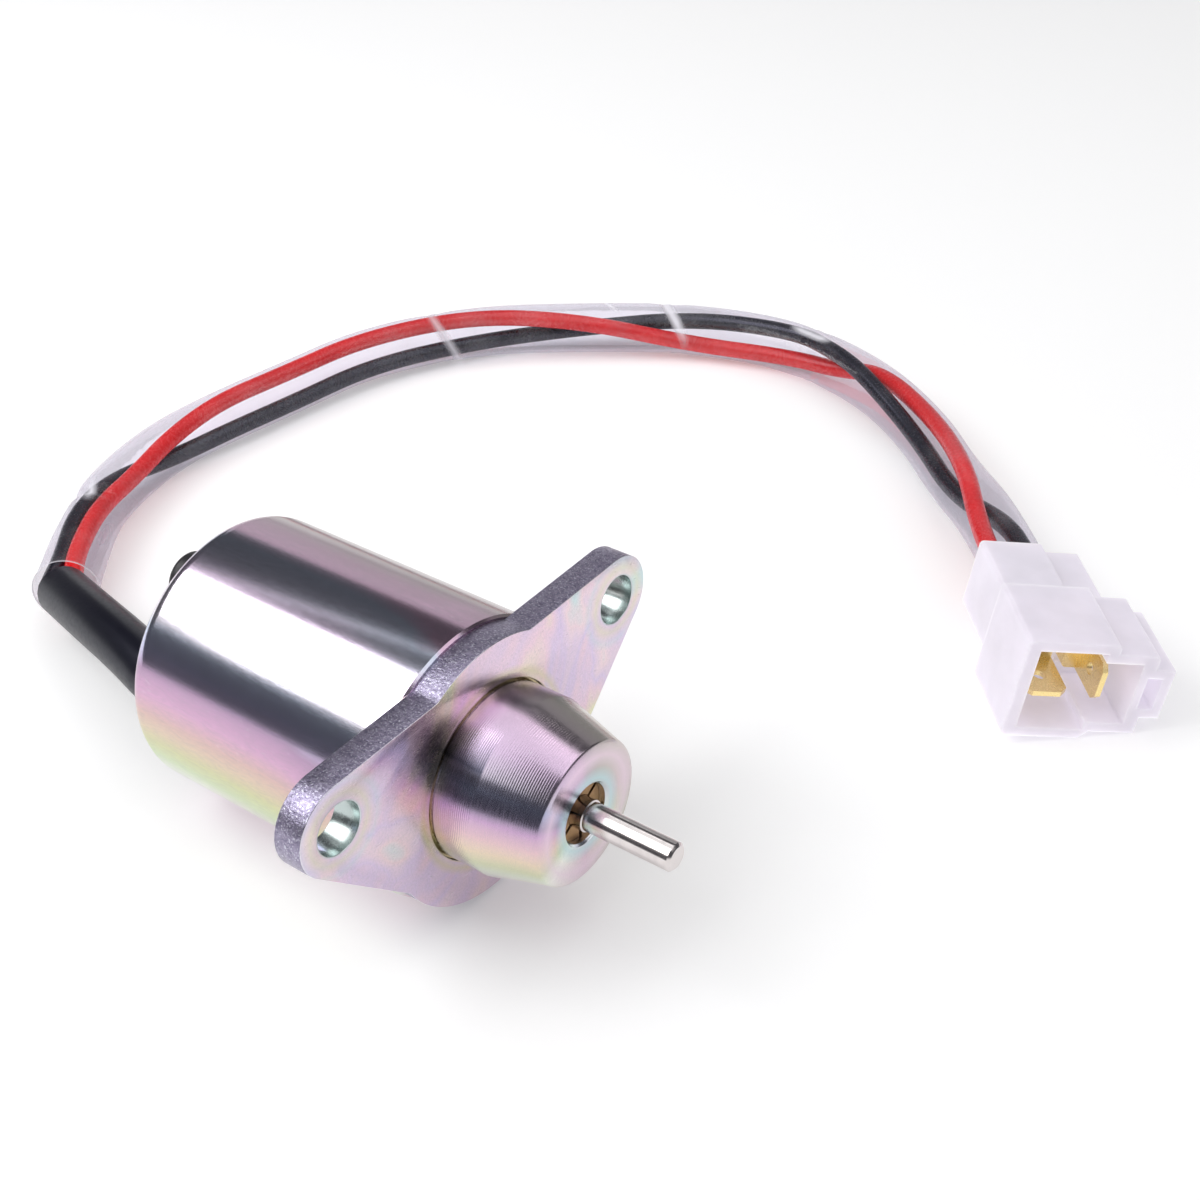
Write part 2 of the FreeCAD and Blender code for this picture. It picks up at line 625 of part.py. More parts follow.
def make_terminal(node, across, up, quarter_turn):
    # A blade with a pointed tip and a hole, and the folded crimp box behind it.
    lying = Placement(Vector(across, 0, up), Rotation(Vector(0, 1, 0), quarter_turn))
    body = new_body(node, housing_placement().multiply(lying))
    blade = new_sketch(body, "XY_Plane")
    edge = "(tab_width / 2)"
    crimp_end = "(shroud_length + rear_block_length - wire_entry_depth - fit_gap)"
    draw_outline(blade, [
        (f"-{edge}", "tab_tip + tab_point"), (f"tab_point - {edge}", "tab_tip"),
        (f"{edge} - tab_point", "tab_tip"), (edge, "tab_tip + tab_point"),
        (edge, crimp_end), (f"-{edge}", crimp_end),
    ])
    add_pad(body, blade, "tab_thickness")
    crimp = new_sketch(body, "XY_Plane")
    draw_outline(crimp, [
        ("-crimp_width / 2", "crimp_start"), ("crimp_width / 2", "crimp_start"),
        ("crimp_width / 2", crimp_end), ("-crimp_width / 2", crimp_end),
    ])
    add_pad(body, crimp, "crimp_height")
    dress(body, "Fillet", "tab_thickness", lambda e: runs_along(e, Vector(0, 1, 0))
          and abs(e.CenterOfMass.z - size.crimp_height) < 0.01)
    hole = new_sketch(body, "XY_Plane")
    draw_circle(hole, "0", "tab_tip + tab_hole_setback", "tab_hole_radius")
    add_pocket(body, hole, "tab_thickness", backwards=True)


make_can()
make_flange()
make_nose()
make_guide_bush()
make_moving_pieces()
make_magnetic_circuit()
make_coil()
make_return_spring()
make_rear_cap()
make_grommet()
make_lead("lead_boot", BOOT_ROUTE, size.boot_radius)
make_lead("red_wire", RED_ROUTE, size.wire_radius)
make_lead("black_wire", BLACK_ROUTE, size.wire_radius)
make_lead("clear_sleeve", SLEEVE_ROUTE, size.sleeve_radius, size.sleeve_radius - size.sleeve_wall)
make_housing()
make_terminal("flat_tab", size.flat_tab_u, size.flat_tab_w, 0)
make_terminal("upright_tab", size.upright_tab_u, size.upright_tab_w, -90)

doc.recompute()
for item in doc.Objects:
    if "Invalid" in item.State or "Error" in item.State:
        raise RuntimeError(f"{item.Label} failed: {item.State}")
os.makedirs("parts", exist_ok=True)
for piece in sub_parts:
    shape = piece.Shape
    if shape.isNull() or not shape.isValid():
        raise RuntimeError(f"{piece.Label} has no valid shape")
    print(piece.Label, "solids", len(shape.Solids), "volume", round(shape.Volume, 1))
    shape.exportStep(f"parts/{piece.Label}.step")
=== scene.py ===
import math

import bmesh
import bpy
from mathutils import Matrix, Vector


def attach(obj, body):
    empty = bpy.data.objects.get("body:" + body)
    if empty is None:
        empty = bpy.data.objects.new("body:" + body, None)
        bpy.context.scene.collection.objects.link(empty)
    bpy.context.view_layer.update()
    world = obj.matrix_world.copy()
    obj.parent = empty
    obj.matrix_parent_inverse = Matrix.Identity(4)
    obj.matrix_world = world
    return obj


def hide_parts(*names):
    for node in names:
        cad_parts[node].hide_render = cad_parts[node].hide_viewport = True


bpy.ops.wm.read_factory_settings(use_empty=True)
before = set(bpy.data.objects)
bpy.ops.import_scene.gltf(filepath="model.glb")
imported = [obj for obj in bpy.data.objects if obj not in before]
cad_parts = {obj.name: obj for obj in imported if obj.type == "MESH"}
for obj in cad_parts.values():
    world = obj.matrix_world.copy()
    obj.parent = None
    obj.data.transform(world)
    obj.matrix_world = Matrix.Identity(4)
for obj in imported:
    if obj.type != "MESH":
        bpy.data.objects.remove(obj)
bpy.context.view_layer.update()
scene = bpy.context.scene
mm = 0.001

# The photograph's camera, fitted to the picture.
print("camera")
cameraSettings = {
    "place": (0.1119, -0.1211, 0.14411),
    "right": (0.8029, 0.5952, -0.0324),
    "up": (-0.3280, 0.4865, 0.8098),
    "back": (0.4977, -0.6395, 0.5859),
    "lens": 52.5,
    "sensor": 36.0,
}
bpy.ops.object.camera_add()
camera = bpy.context.object
camera.name = "photoCamera"
axes = [Vector(cameraSettings[key]).normalized() for key in ("right", "up", "back")]
camera.matrix_world = Matrix.Translation(cameraSettings["place"]) @ Matrix(axes).transposed().to_4x4()
camera.data.lens = cameraSettings["lens"]
camera.data.sensor_width = cameraSettings["sensor"]
camera.data.clip_start = 0.01
scene.camera = camera


# Material helper.
class Shader:
    # A new material and short ways to add and join its nodes.
    def __init__(self, name, **settings):
        self.material = bpy.data.materials.new(name)
        self.material.use_nodes = True
        self.tree = self.material.node_tree
        self.surface = self.tree.nodes["Principled BSDF"]
        self.set(self.surface, **settings)
        self.coords = self.node("ShaderNodeTexCoord").outputs["Object"]

    def feed(self, socket, value):
        # A link from another node, or a value of the socket's own; colours may leave out their alpha.
        if isinstance(value, bpy.types.NodeSocket):
            self.tree.links.new(value, socket)
        elif socket.type == "RGBA" and len(value) == 3:
            socket.default_value = (*value, 1)
        else:
            socket.default_value = value

    def set(self, node, **values):
        for key, value in values.items():
            self.feed(node.inputs[key.replace("_", " ")], value)

    def node(self, kind, **values):
        made = self.tree.nodes.new(kind)
        self.set(made, **values)
        return made

    def noise(self, scale, detail=2.0, stretch=(1, 1, 1), roughness=0.5, distortion=0.0):
        mapped = self.node("ShaderNodeMapping", Vector=self.coords, Scale=stretch)
        made = self.node("ShaderNodeTexNoise", Vector=mapped.outputs["Vector"], Scale=scale, Detail=detail,
                         Roughness=roughness, Distortion=distortion)
        return made.outputs["Fac"]

    def ramp(self, factor, stops):
        made = self.node("ShaderNodeValToRGB", Fac=factor)
        elements = made.color_ramp.elements
        while len(elements) < len(stops):
            elements.new(0.5)
        for element, (place, colour) in zip(elements, stops):
            element.position = place
            element.color = (*colour, 1)
        return made.outputs["Color"]

    def math(self, operation, first, second=0.0):
        made = self.tree.nodes.new("ShaderNodeMath")
        made.operation = operation
        self.feed(made.inputs[0], first)
        self.feed(made.inputs[1], second)
        return made.outputs["Value"]

    def vectorMath(self, operation, first, second=(0, 0, 0), output="Vector"):
        made = self.tree.nodes.new("ShaderNodeVectorMath")
        made.operation = operation
        self.feed(made.inputs[0], first)
        self.feed(made.inputs[1], second)
        return made.outputs[output]

    def remap(self, value, low, high, toLow, toHigh):
        made = self.node("ShaderNodeMapRange", Value=value)
        for key, number in (("From Min", low), ("From Max", high), ("To Min", toLow), ("To Max", toHigh)):
            made.inputs[key].default_value = number
        return made.outputs["Result"]

    def mix(self, factor, first, second):
        made = self.tree.nodes.new("ShaderNodeMix")
        made.data_type = "RGBA"
        for index, value in ((0, factor), (6, first), (7, second)):
            self.feed(made.inputs[index], value)
        return made.outputs[2]

    def bump(self, height, strength, distance, normal=None):
        made = self.node("ShaderNodeBump", Height=height, Strength=strength, Distance=distance)
        if normal is not None:
            self.tree.links.new(normal, made.inputs["Normal"])
        return made.outputs["Normal"]

    def radiusFrom(self, centre):
        # Distance from an axis that runs along X through this point, in metres.
        moved = self.vectorMath("SUBTRACT", self.coords, centre)
        return self.vectorMath("LENGTH", self.vectorMath("MULTIPLY", moved, (0, 1, 1)), output="Value")


# Modelling helpers.
def activate(thing):
    bpy.ops.object.select_all(action="DESELECT")
    thing.select_set(True)
    bpy.context.view_layer.objects.active = thing


def newPiece(name, points, faces):
    mesh = bpy.data.meshes.new(name)
    mesh.from_pydata([tuple(Vector(point) * mm) for point in points], [], faces)
    piece = bpy.data.objects.new(name, mesh)
    scene.collection.objects.link(piece)
    activate(piece)
    return piece


def faceOutwards():
    # For the active piece, in edit mode and left in object mode.
    bpy.ops.mesh.select_all(action="SELECT")
    bpy.ops.mesh.normals_make_consistent(inside=False)
    bpy.ops.object.mode_set(mode="OBJECT")


def turnedPiece(name, profile, steps, closed=True, place=(0, 0, 0)):
    # Turned about a line along X through the place, from (along, radius) corners in millimetres.
    # A corner on the line becomes one point.
    points = []
    rings = []
    for along, radius in profile:
        count = steps if radius else 1
        rings.append([len(points) + k % count for k in range(steps + 1)])
        for k in range(count):
            angle = math.tau * k / steps
            points.append((along + place[0], place[1] - radius * math.sin(angle),
                           place[2] + radius * math.cos(angle)))
    faces = []
    for first, second in zip(rings, rings[1:] + (rings[:1] if closed else [])):
        for k in range(steps):
            faces.append(list(dict.fromkeys((first[k], first[k + 1], second[k + 1], second[k]))))
    piece = newPiece(name, points, faces)
    bpy.ops.object.mode_set(mode="EDIT")
    faceOutwards()
    bpy.ops.object.shade_smooth_by_angle(angle=math.radians(35))
    return piece


def apply(piece, kind, **settings):
    modifier = piece.modifiers.new(kind.title(), kind)
    for key, value in settings.items():
        setattr(modifier, key, value)
    activate(piece)
    bpy.ops.object.modifier_apply(modifier=modifier.name)


def soften(piece, width, segments, angle, sliver=0.005):
    apply(piece, "BEVEL", width=width * mm, segments=segments, limit_method="ANGLE",
          angle_limit=math.radians(angle), harden_normals=False)
    # Slivers without area go, where bevels meet the edges that a drilled face keeps.
    bpy.ops.object.mode_set(mode="EDIT")
    bpy.ops.mesh.select_all(action="SELECT")
    bpy.ops.mesh.dissolve_degenerate(threshold=sliver * mm)
    bpy.ops.object.mode_set(mode="OBJECT")
    bpy.ops.object.shade_smooth_by_angle(angle=math.radians(angle))


def dress(piece, material, body, node):
    # The piece gets its material, rides on a body and stands for a node of the CAD.
    piece.data.materials.clear()
    piece.data.materials.append(material)
    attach(piece, body)
    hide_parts(node)


def paint(node, material):
    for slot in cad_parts[node].material_slots:
        slot.material = material


# The lead: routes in metres.
print("lead")
leadSettings = {
    "bootRadius": 4.1, "wireRadius": 1.55, "sleeveRadius": 4.95,
    "creases": [107.9, 153.5, 183.5],  # millimetres from the sleeve's mouth
    "creaseRidge": 0.13, "ridgeWidth": 0.5, "creaseDip": 0.2, "dipWidth": 2.5, "creaseSlant": 0.7,
    "foldAt": 24.5, "foldDepth": 0.7, "foldWidth": 1.6, "foldTurn": 1.2,
    "dentAt": 21.0, "dentDepth": 0.3, "dentWidth": 6,
    "mouthFlare": 0.35, "mouthLength": 2.2, "inset": 0.15,
    "unevenness": 0.09, "twist": 55, "swell": 120,
}
bootRoute = [
    (-0.0432, -0.0076, -0.0062), (-0.0524, -0.0076, -0.0062), (-0.064, -0.0042, -0.0066),
    (-0.0785, 0.0, -0.009), (-0.092, 0.0046, -0.0123),
]
sleeveRoute = [
    (-0.0925, 0.0054, -0.0127), (-0.1004, 0.014, -0.0137), (-0.108, 0.0239, -0.014),
    (-0.1123, 0.0347, -0.014), (-0.1146, 0.0469, -0.014), (-0.1136, 0.0593, -0.014),
    (-0.1112, 0.0731, -0.014), (-0.1085, 0.0921, -0.014), (-0.0965, 0.1107, -0.014),
    (-0.0796, 0.1231, -0.014), (-0.0616, 0.1344, -0.014), (-0.0415, 0.1392, -0.014),
    (-0.0214, 0.1344, -0.014), (-0.0052, 0.124, -0.014), (0.0073, 0.111, -0.0128), (0.0195, 0.1, -0.0109),
    (0.0303, 0.0879, -0.0109),
]
redRoute = [
    (-0.092, 0.00665, -0.0124), (-0.0953, 0.00885, -0.01295), (-0.0999, 0.0142, -0.0123),
    (-0.1063, 0.024, -0.0123), (-0.1108, 0.0351, -0.0136), (-0.1141, 0.0469, -0.0125),
    (-0.1148, 0.0595, -0.0115), (-0.1125, 0.0733, -0.0116), (-0.1093, 0.0924, -0.0114),
    (-0.0975, 0.1117, -0.0115), (-0.0792, 0.1225, -0.0123), (-0.0608, 0.1326, -0.0164),
    (-0.0414, 0.1384, -0.0163), (-0.0308, 0.139, -0.0163), (-0.0203, 0.1365, -0.0126),
    (-0.0038, 0.1257, -0.0124), (0.0085, 0.1122, -0.0106), (0.0174, 0.0987, -0.0103),
    (0.0238, 0.091, -0.0107), (0.0305, 0.0835, -0.0107),
]
blackRoute = [
    (-0.0933, 0.00305, -0.0124), (-0.0961, 0.00492, -0.0129), (-0.1009, 0.0109, -0.014),
    (-0.1096, 0.0216, -0.0132), (-0.1149, 0.034, -0.0149), (-0.1146, 0.0469, -0.017),
    (-0.1119, 0.0591, -0.0162), (-0.11, 0.0729, -0.0165), (-0.1065, 0.0913, -0.0159),
    (-0.0963, 0.1105, -0.0163), (-0.081, 0.1252, -0.0153), (-0.0627, 0.1371, -0.0133),
    (-0.0417, 0.1406, -0.0118), (-0.0311, 0.1375, -0.0118), (-0.0222, 0.1329, -0.012),
    (-0.0058, 0.1233, -0.0153), (0.0075, 0.1112, -0.0161), (0.021, 0.1019, -0.0115),
    (0.028, 0.0947, -0.0111), (0.0347, 0.0873, -0.0111),
]


def routeCurve(name, route, radius=0.0, resolution=24):
    data = bpy.data.curves.new(name, "CURVE")
    data.dimensions = "3D"
    spline = data.splines.new("NURBS")
    spline.points.add(len(route) - 1)
    for point, place in zip(spline.points, route):
        point.co = (*place, 1)
    spline.order_u = 3
    spline.use_endpoint_u = True
    spline.resolution_u = resolution
    data.resolution_u = resolution
    data.bevel_depth = radius * mm
    data.bevel_resolution = 8
    data.use_fill_caps = True
    curve = bpy.data.objects.new(name, data)
    scene.collection.objects.link(curve)
    return curve


def routeLine(route, resolution=24):
    # The smooth line of a route, read from its spline.
    guide = routeCurve("guideLine", route, resolution=resolution)
    bpy.context.view_layer.update()
    evaluated = guide.evaluated_get(bpy.context.evaluated_depsgraph_get())
    mesh = bpy.data.meshes.new_from_object(evaluated)
    line = [vertex.co.copy() for vertex in mesh.vertices]
    bpy.data.objects.remove(guide)
    bpy.data.meshes.remove(mesh)
    return line


def lineLength(line):
    return sum((after - before).length for before, after in zip(line, line[1:]))


def sweptTube(name, line, radiusAt, steps):
    # Rings of points along a line, each turned with it; radiusAt gives the radius by distance and angle.
    made = bmesh.new()
    tangent = (line[1] - line[0]).normalized()
    across = tangent.orthogonal().normalized()
    rings = []
    travelled = 0.0
    for i, centre in enumerate(line):
        ahead = line[min(i + 1, len(line) - 1)] - line[max(i - 1, 0)]
        tangent = ahead.normalized()
        across = (across - tangent * across.dot(tangent)).normalized()
        other = tangent.cross(across)
        if i:
            travelled += (centre - line[i - 1]).length
        ring = []
        for k in range(steps):
            angle = math.tau * k / steps
            direction = across * math.cos(angle) + other * math.sin(angle)
            ring.append(made.verts.new(centre + direction * radiusAt(travelled, angle)))
        rings.append(ring)
    for first, second in zip(rings, rings[1:]):
        for k in range(steps):
            made.faces.new((first[k], first[(k + 1) % steps], second[(k + 1) % steps], second[k]))
    bmesh.ops.recalc_face_normals(made, faces=made.faces)
    mesh = bpy.data.meshes.new(name)
    made.to_mesh(mesh)
    made.free()
    mesh.shade_smooth()
    tube = bpy.data.objects.new(name, mesh)
    scene.collection.objects.link(tube)
    return tube


redWire = routeCurve("redWire", redRoute, leadSettings["wireRadius"])
blackWire = routeCurve("blackWire", blackRoute, leadSettings["wireRadius"])
leadBoot = routeCurve("leadBoot", bootRoute, leadSettings["bootRadius"])
redLine = routeLine(redRoute)
blackLine = routeLine(blackRoute)
bootLine = routeLine(bootRoute)
sleeveLine = routeLine(sleeveRoute, 60)
print("lengths", [round(lineLength(line), 4) for line in (redLine, blackLine, bootLine, sleeveLine)])


def around(angle, turn=0.0, lobes=1):
    # A wave round the tube that runs from 0 to 1.
    return 0.5 + 0.5 * math.cos(lobes * angle + turn)


def sleeveRadius(travelled, angle):
    # A little out of round, flared at its mouth, pinched at the fold near the boot and ridged at its creases.
    lead = leadSettings
    along = travelled / mm
    radius = lead["sleeveRadius"] - lead["inset"] + lead["mouthFlare"] * math.exp(-along / lead["mouthLength"])
    fold = math.exp(-((along - lead["foldAt"]) / lead["foldWidth"]) ** 2)
    dent = math.exp(-((along - lead["dentAt"]) / lead["dentWidth"]) ** 2)
    radius -= lead["foldDepth"] * fold * around(angle, lead["foldTurn"])
    radius -= lead["dentDepth"] * dent * around(angle, lobes=3)
    for station in lead["creases"]:
        away = along - station - lead["creaseSlant"] * math.sin(angle)
        radius += lead["creaseRidge"] * math.exp(-(away / lead["ridgeWidth"]) ** 2)
        radius -= lead["creaseDip"] * math.exp(-(away / lead["dipWidth"]) ** 2)
    swell = 0.6 + 0.4 * math.sin(lead["swell"] * travelled)
    radius += lead["unevenness"] * math.sin(2 * angle + lead["twist"] * travelled) * swell
    return radius * mm


clearSleeve = sweptTube("clearSleeve", sleeveLine, sleeveRadius, 56)

# Materials of the whole part.
print("materials")


zincSettings = {
    "seamAngle": -137.5,  # where the colours round the axis begin, in degrees
    "grainScale": 3000, "grainTint": (0.30, 0.30, 0.33), "grainHeight": 0.00003,
    "scratchScale": 900, "scratchHeight": 0.00002,
    "speckScale": 2000, "speckTint": (0.80, 0.80, 0.82),
    "shearScale": 2400, "shearDark": (0.17, 0.15, 0.23), "shearLight": (0.42, 0.38, 0.51),
    "shearHeight": 0.00009, "shearRoughness": 0.08,
    "shadeEdge": 0.0001, "sparkleScale": 4200, "sparkleTint": (0.80, 0.80, 0.90), "bevelTint": (0.84, 0.84, 0.88),
}


def shearedEdge(shader, walls, base, rough, normal):
    # Darker sheared metal where a surface faces away from X, with bored walls of their own and a lighter colour
    # on the bevels between face and rim.
    facing = shader.node("ShaderNodeTexCoord").outputs["Normal"]
    lean = shader.math("ABSOLUTE", shader.node("ShaderNodeSeparateXYZ", Vector=facing).outputs["X"])
    rim = shader.remap(lean, 0.25, 0.75, 1.0, 0.0)
    for centre, radius, width, colour, strength in walls:
        inside = shader.remap(shader.radiusFrom(centre), radius, radius + width, strength, 0.0)
        rim = shader.math("MULTIPLY", rim, shader.math("SUBTRACT", 1.0, inside))
        base = shader.mix(inside, base, colour)
    sheared = shader.noise(zincSettings["shearScale"], 4.0, (0.7, 1, 1), 0.65)
    sparkle = shader.remap(shader.noise(zincSettings["sparkleScale"], 2.0), 0.57, 0.66, 0.0, 0.6)
    edge = shader.mix(shader.remap(sheared, 0.3, 0.7, 0.0, 1.0),
                      zincSettings["shearDark"], zincSettings["shearLight"])
    edge = shader.mix(sparkle, edge, zincSettings["sparkleTint"])
    base = shader.mix(rim, base, edge)
    rough = shader.math("ADD", rough, shader.math("MULTIPLY", rim, zincSettings["shearRoughness"]))
    normal = shader.bump(sheared, rim, zincSettings["shearHeight"], normal)
    # Lighter colour where the normal leans between the face and the rim, on the bevels.
    lighterBevel = shader.math("MULTIPLY", shader.remap(lean, 0.35, 0.55, 0.0, 0.7),
                       shader.remap(lean, 0.88, 0.97, 1.0, 0.0))
    return shader.mix(lighterBevel, base, zincSettings["bevelTint"]), rough, normal


def zincPlate(name, settings):
    # Bright zinc under a clear passivation film, whose colour drifts round the axis and over the surface; round
    # the axis the colour also carries painted reflections, light and dark bands of the studio.
    shader = Shader(name, Metallic=1.0)
    turned = shader.node("ShaderNodeMapping", Vector=shader.coords,
                         Rotation=(math.radians(zincSettings["seamAngle"]), 0, 0))
    parts = shader.node("ShaderNodeSeparateXYZ", Vector=turned.outputs["Vector"])
    angle = shader.math("ARCTAN2", parts.outputs["Z"], parts.outputs["Y"])
    share = shader.math("ADD", shader.math("DIVIDE", angle, math.tau), 0.5)
    drift = shader.noise(settings["driftScale"], 3.0, settings["driftStretch"], 0.55, 0.6)
    swing = shader.remap(parts.outputs["X"], *settings["swing"])
    share = shader.math("ADD", share, shader.math("MULTIPLY", shader.math("SUBTRACT", drift, 0.5), swing))
    # By the angle round the axis the tints hold painted reflections, bright and dark bands, on top of the film's
    # colour.
    if settings["byAngle"]:
        tint = shader.ramp(share, settings["tints"])
    else:
        tint = shader.ramp(shader.remap(drift, 0.28, 0.72, 0.0, 1.0), settings["tints"])
    fine = shader.noise(zincSettings["grainScale"], 4.0, settings["grainStretch"], 0.6)
    scratch = shader.noise(zincSettings["scratchScale"], 3.0, settings["scratchStretch"], 0.7)
    base = shader.mix(shader.remap(fine, 0.4, 0.75, 0.0, settings["mottle"]), tint, zincSettings["grainTint"])
    speck = shader.noise(zincSettings["speckScale"], 1.0, (0.7, 1, 1))
    base = shader.mix(shader.remap(speck, 0.70, 0.76, 0.0, settings["specks"]), base, zincSettings["speckTint"])
    for centre, radius, width, colour, strength in settings["halos"]:
        away = shader.math("ABSOLUTE", shader.math("SUBTRACT", shader.radiusFrom(centre), radius))
        base = shader.mix(shader.remap(away, 0.0, width, strength, 0.0), base, colour)
    # Painted shade: the pilot's colour darkened in a band round the axis.
    if settings["shade"]:
        shade = settings["shade"]
        rise = shader.remap(share, shade["start"], shade["peak"], 0.0, shade["strength"])
        fall = shader.remap(share, shade["peak"], shade["stop"], shade["strength"], 0.0)
        edge = zincSettings["shadeEdge"]
        reach = shader.remap(parts.outputs["X"], shade["end"] - edge, shade["end"] + edge, 1.0, 0.0)
        dark = shader.math("MULTIPLY", shader.math("MINIMUM", rise, fall), reach)
        base = shader.mix(dark, base, shade["colour"])
    rough = shader.remap(scratch, 0.3, 0.75, settings["roughLow"], settings["roughHigh"])
    height = fine
    if settings["grooves"]:
        turning = shader.math("SINE", shader.math("MULTIPLY", parts.outputs["X"], settings["grooves"]))
        height = shader.math("ADD", shader.math("MULTIPLY", turning, 0.5), shader.math("MULTIPLY", fine, 0.6))
    normal = shader.bump(height, settings["grain"], zincSettings["grainHeight"])
    normal = shader.bump(scratch, settings["scratches"], zincSettings["scratchHeight"], normal)
    if settings["walls"]:
        base, rough, normal = shearedEdge(shader, settings["walls"], base, rough, normal)
    shader.set(shader.surface, Base_Color=base, Roughness=rough, Normal=normal)
    return shader.material


# Colours round the axis, from below the far side, over the top and down the near side: the film's own colours
# with painted reflections, bright and dark bands, laid into them.
filmAndReflectionTints = [
    (0.00, (0.73, 0.76, 0.56)), (0.08, (0.79, 0.47, 0.64)), (0.16, (0.60, 0.63, 0.60)),
    (0.25, (0.33, 0.27, 0.27)), (0.29, (0.34, 0.29, 0.29)), (0.32, (0.44, 0.31, 0.39)),
    (0.355, (0.56, 0.39, 0.51)), (0.375, (0.50, 0.54, 0.65)), (0.40, (0.59, 0.59, 0.70)),
    (0.425, (0.75, 0.61, 0.78)), (0.45, (0.84, 0.79, 0.87)), (0.49, (0.84, 0.79, 0.87)),
    (0.505, (0.57, 0.63, 0.78)), (0.53, (0.56, 0.54, 0.74)), (0.55, (0.41, 0.28, 0.41)),
    (0.575, (0.63, 0.39, 0.55)), (0.598, (0.66, 0.47, 0.44)), (0.615, (0.70, 0.56, 0.44)),
    (0.64, (0.63, 0.64, 0.36)), (0.665, (0.59, 0.70, 0.41)), (0.69, (0.74, 0.83, 0.63)),
    (0.72, (0.82, 0.85, 0.79)), (0.78, (0.78, 0.52, 0.69)), (0.85, (0.75, 0.70, 0.49)),
    (0.93, (0.59, 0.70, 0.59)), (1.00, (0.73, 0.76, 0.56)),
]
noseTints = [
    (0.00, (0.73, 0.75, 0.58)), (0.12, (0.71, 0.59, 0.61)), (0.25, (0.55, 0.51, 0.47)),
    (0.30, (0.51, 0.47, 0.44)), (0.355, (0.53, 0.45, 0.50)), (0.38, (0.62, 0.46, 0.60)),
    (0.45, (0.65, 0.50, 0.68)), (0.49, (0.59, 0.53, 0.64)), (0.515, (0.45, 0.47, 0.65)),
    (0.55, (0.36, 0.30, 0.43)), (0.57, (0.58, 0.38, 0.58)), (0.61, (0.74, 0.53, 0.55)),
    (0.64, (0.77, 0.64, 0.49)), (0.67, (0.67, 0.69, 0.47)), (0.69, (0.78, 0.84, 0.67)),
    (0.72, (0.93, 0.95, 0.86)), (0.85, (0.74, 0.56, 0.66)), (1.00, (0.73, 0.75, 0.58)),
]
faceTints = [
    (0.0, (0.60, 0.76, 0.60)), (0.22, (0.80, 0.76, 0.54)), (0.42, (0.82, 0.62, 0.70)),
    (0.6, (0.70, 0.58, 0.76)), (0.8, (0.82, 0.66, 0.70)), (1.0, (0.58, 0.74, 0.74)),
]
boltPlaces = [(0, 0.0262, 0.0103), (0, -0.0262, 0.0103)]
canPlate = zincPlate("canPlate", {
    "byAngle": True, "driftScale": 70, "driftStretch": (0.35, 1, 1), "tints": filmAndReflectionTints,
    "swing": (-0.018, -0.006, 0.025, 0.16), "mottle": 0.25, "specks": 0.12, "grainStretch": (0.25, 1, 1),
    "scratchStretch": (0.15, 1, 1), "roughLow": 0.16, "roughHigh": 0.18, "grain": 0.13, "scratches": 0.015,
    "grooves": 0, "shade": None, "halos": [], "walls": [],
})
flangePlate = zincPlate("flangePlate", {
    "byAngle": False, "driftScale": 48, "driftStretch": (1, 1, 1), "tints": faceTints,
    "swing": (-0.004, 0.0, 0.0, 0.0), "mottle": 0.25, "specks": 0.2, "grainStretch": (1, 1, 1),
    "scratchStretch": (1, 0.4, 1), "roughLow": 0.20, "roughHigh": 0.30, "grain": 0.14, "scratches": 0.10,
    "grooves": 0, "shade": None,
    "halos": [(place, 0.0046, 0.0012, (0.66, 0.66, 0.44), 0.5) for place in boltPlaces]
             + [(place, 0.0062, 0.0010, (0.48, 0.66, 0.68), 0.3) for place in boltPlaces]
             + [((0, 0, 0), 0.0132, 0.0010, (0.66, 0.60, 0.38), 0.6)],
    "walls": [(place, 0.0034, 0.0003, (0.48, 0.55, 0.54), 1.0) for place in boltPlaces]
             + [((0, 0, 0), 0.0122, 0.0003, (0.60, 0.50, 0.30), 1.0)],
})
nosePlate = zincPlate("nosePlate", {
    "byAngle": True, "driftScale": 60, "driftStretch": (0.5, 1, 1), "tints": noseTints,
    "swing": (0.0, 0.01, 0.03, 0.05), "mottle": 0.25, "specks": 0.1, "grainStretch": (5, 1, 1),
    "scratchStretch": (4, 0.4, 0.4), "roughLow": 0.16, "roughHigh": 0.27, "grain": 0.30, "scratches": 0.10,
    "grooves": math.tau / 0.00030, "walls": [],
    # Painted shade: the pilot, up to end, darkened in a band round the axis.
    "shade": {"end": 0.0058, "start": 0.421, "peak": 0.4875, "stop": 0.532, "strength": 0.93,
              "colour": (0.03, 0.035, 0.06)},
    "halos": [((0, 0, 0), 0.0078, 0.0018, (0.84, 0.66, 0.78), 0.6),
              ((0, 0, 0), 0.0048, 0.0016, (0.50, 0.72, 0.76), 0.7)],
})


def plainMetal(name, colour, roughness, stretch=(1, 1, 1)):
    shader = Shader(name, Metallic=1.0)
    fine = shader.noise(2200, 4.0, stretch, 0.6)
    broad = shader.noise(220, 2.0, stretch)
    tint = shader.mix(shader.remap(broad, 0.3, 0.7, 0.0, 0.5), colour, tuple(0.8 * part for part in colour))
    shader.set(shader.surface, Base_Color=tint, Normal=shader.bump(fine, 0.08, 0.00003),
               Roughness=shader.remap(fine, 0.3, 0.7, roughness * 0.8, roughness * 1.3))
    return shader.material


def moulded(name, colour, roughness, grain, softEdge=0.0, **finish):
    # Plastic or rubber with a faint grain; softEdge rounds the look of its edges, in millimetres.
    shader = Shader(name)
    soft = shader.node("ShaderNodeBevel", Radius=softEdge * mm).outputs["Normal"] if softEdge else None
    fine = shader.noise(1500, 5.0, roughness=0.65)
    broad = shader.noise(130, 3.0)
    tint = shader.mix(shader.remap(broad, 0.3, 0.7, 0.0, 0.6), colour, tuple(0.75 * part for part in colour))
    shader.set(shader.surface, Base_Color=tint, Normal=shader.bump(fine, grain, 0.00004, soft),
               Roughness=shader.remap(fine, 0.3, 0.7, roughness * 0.85, roughness * 1.2), **finish)
    return shader.material


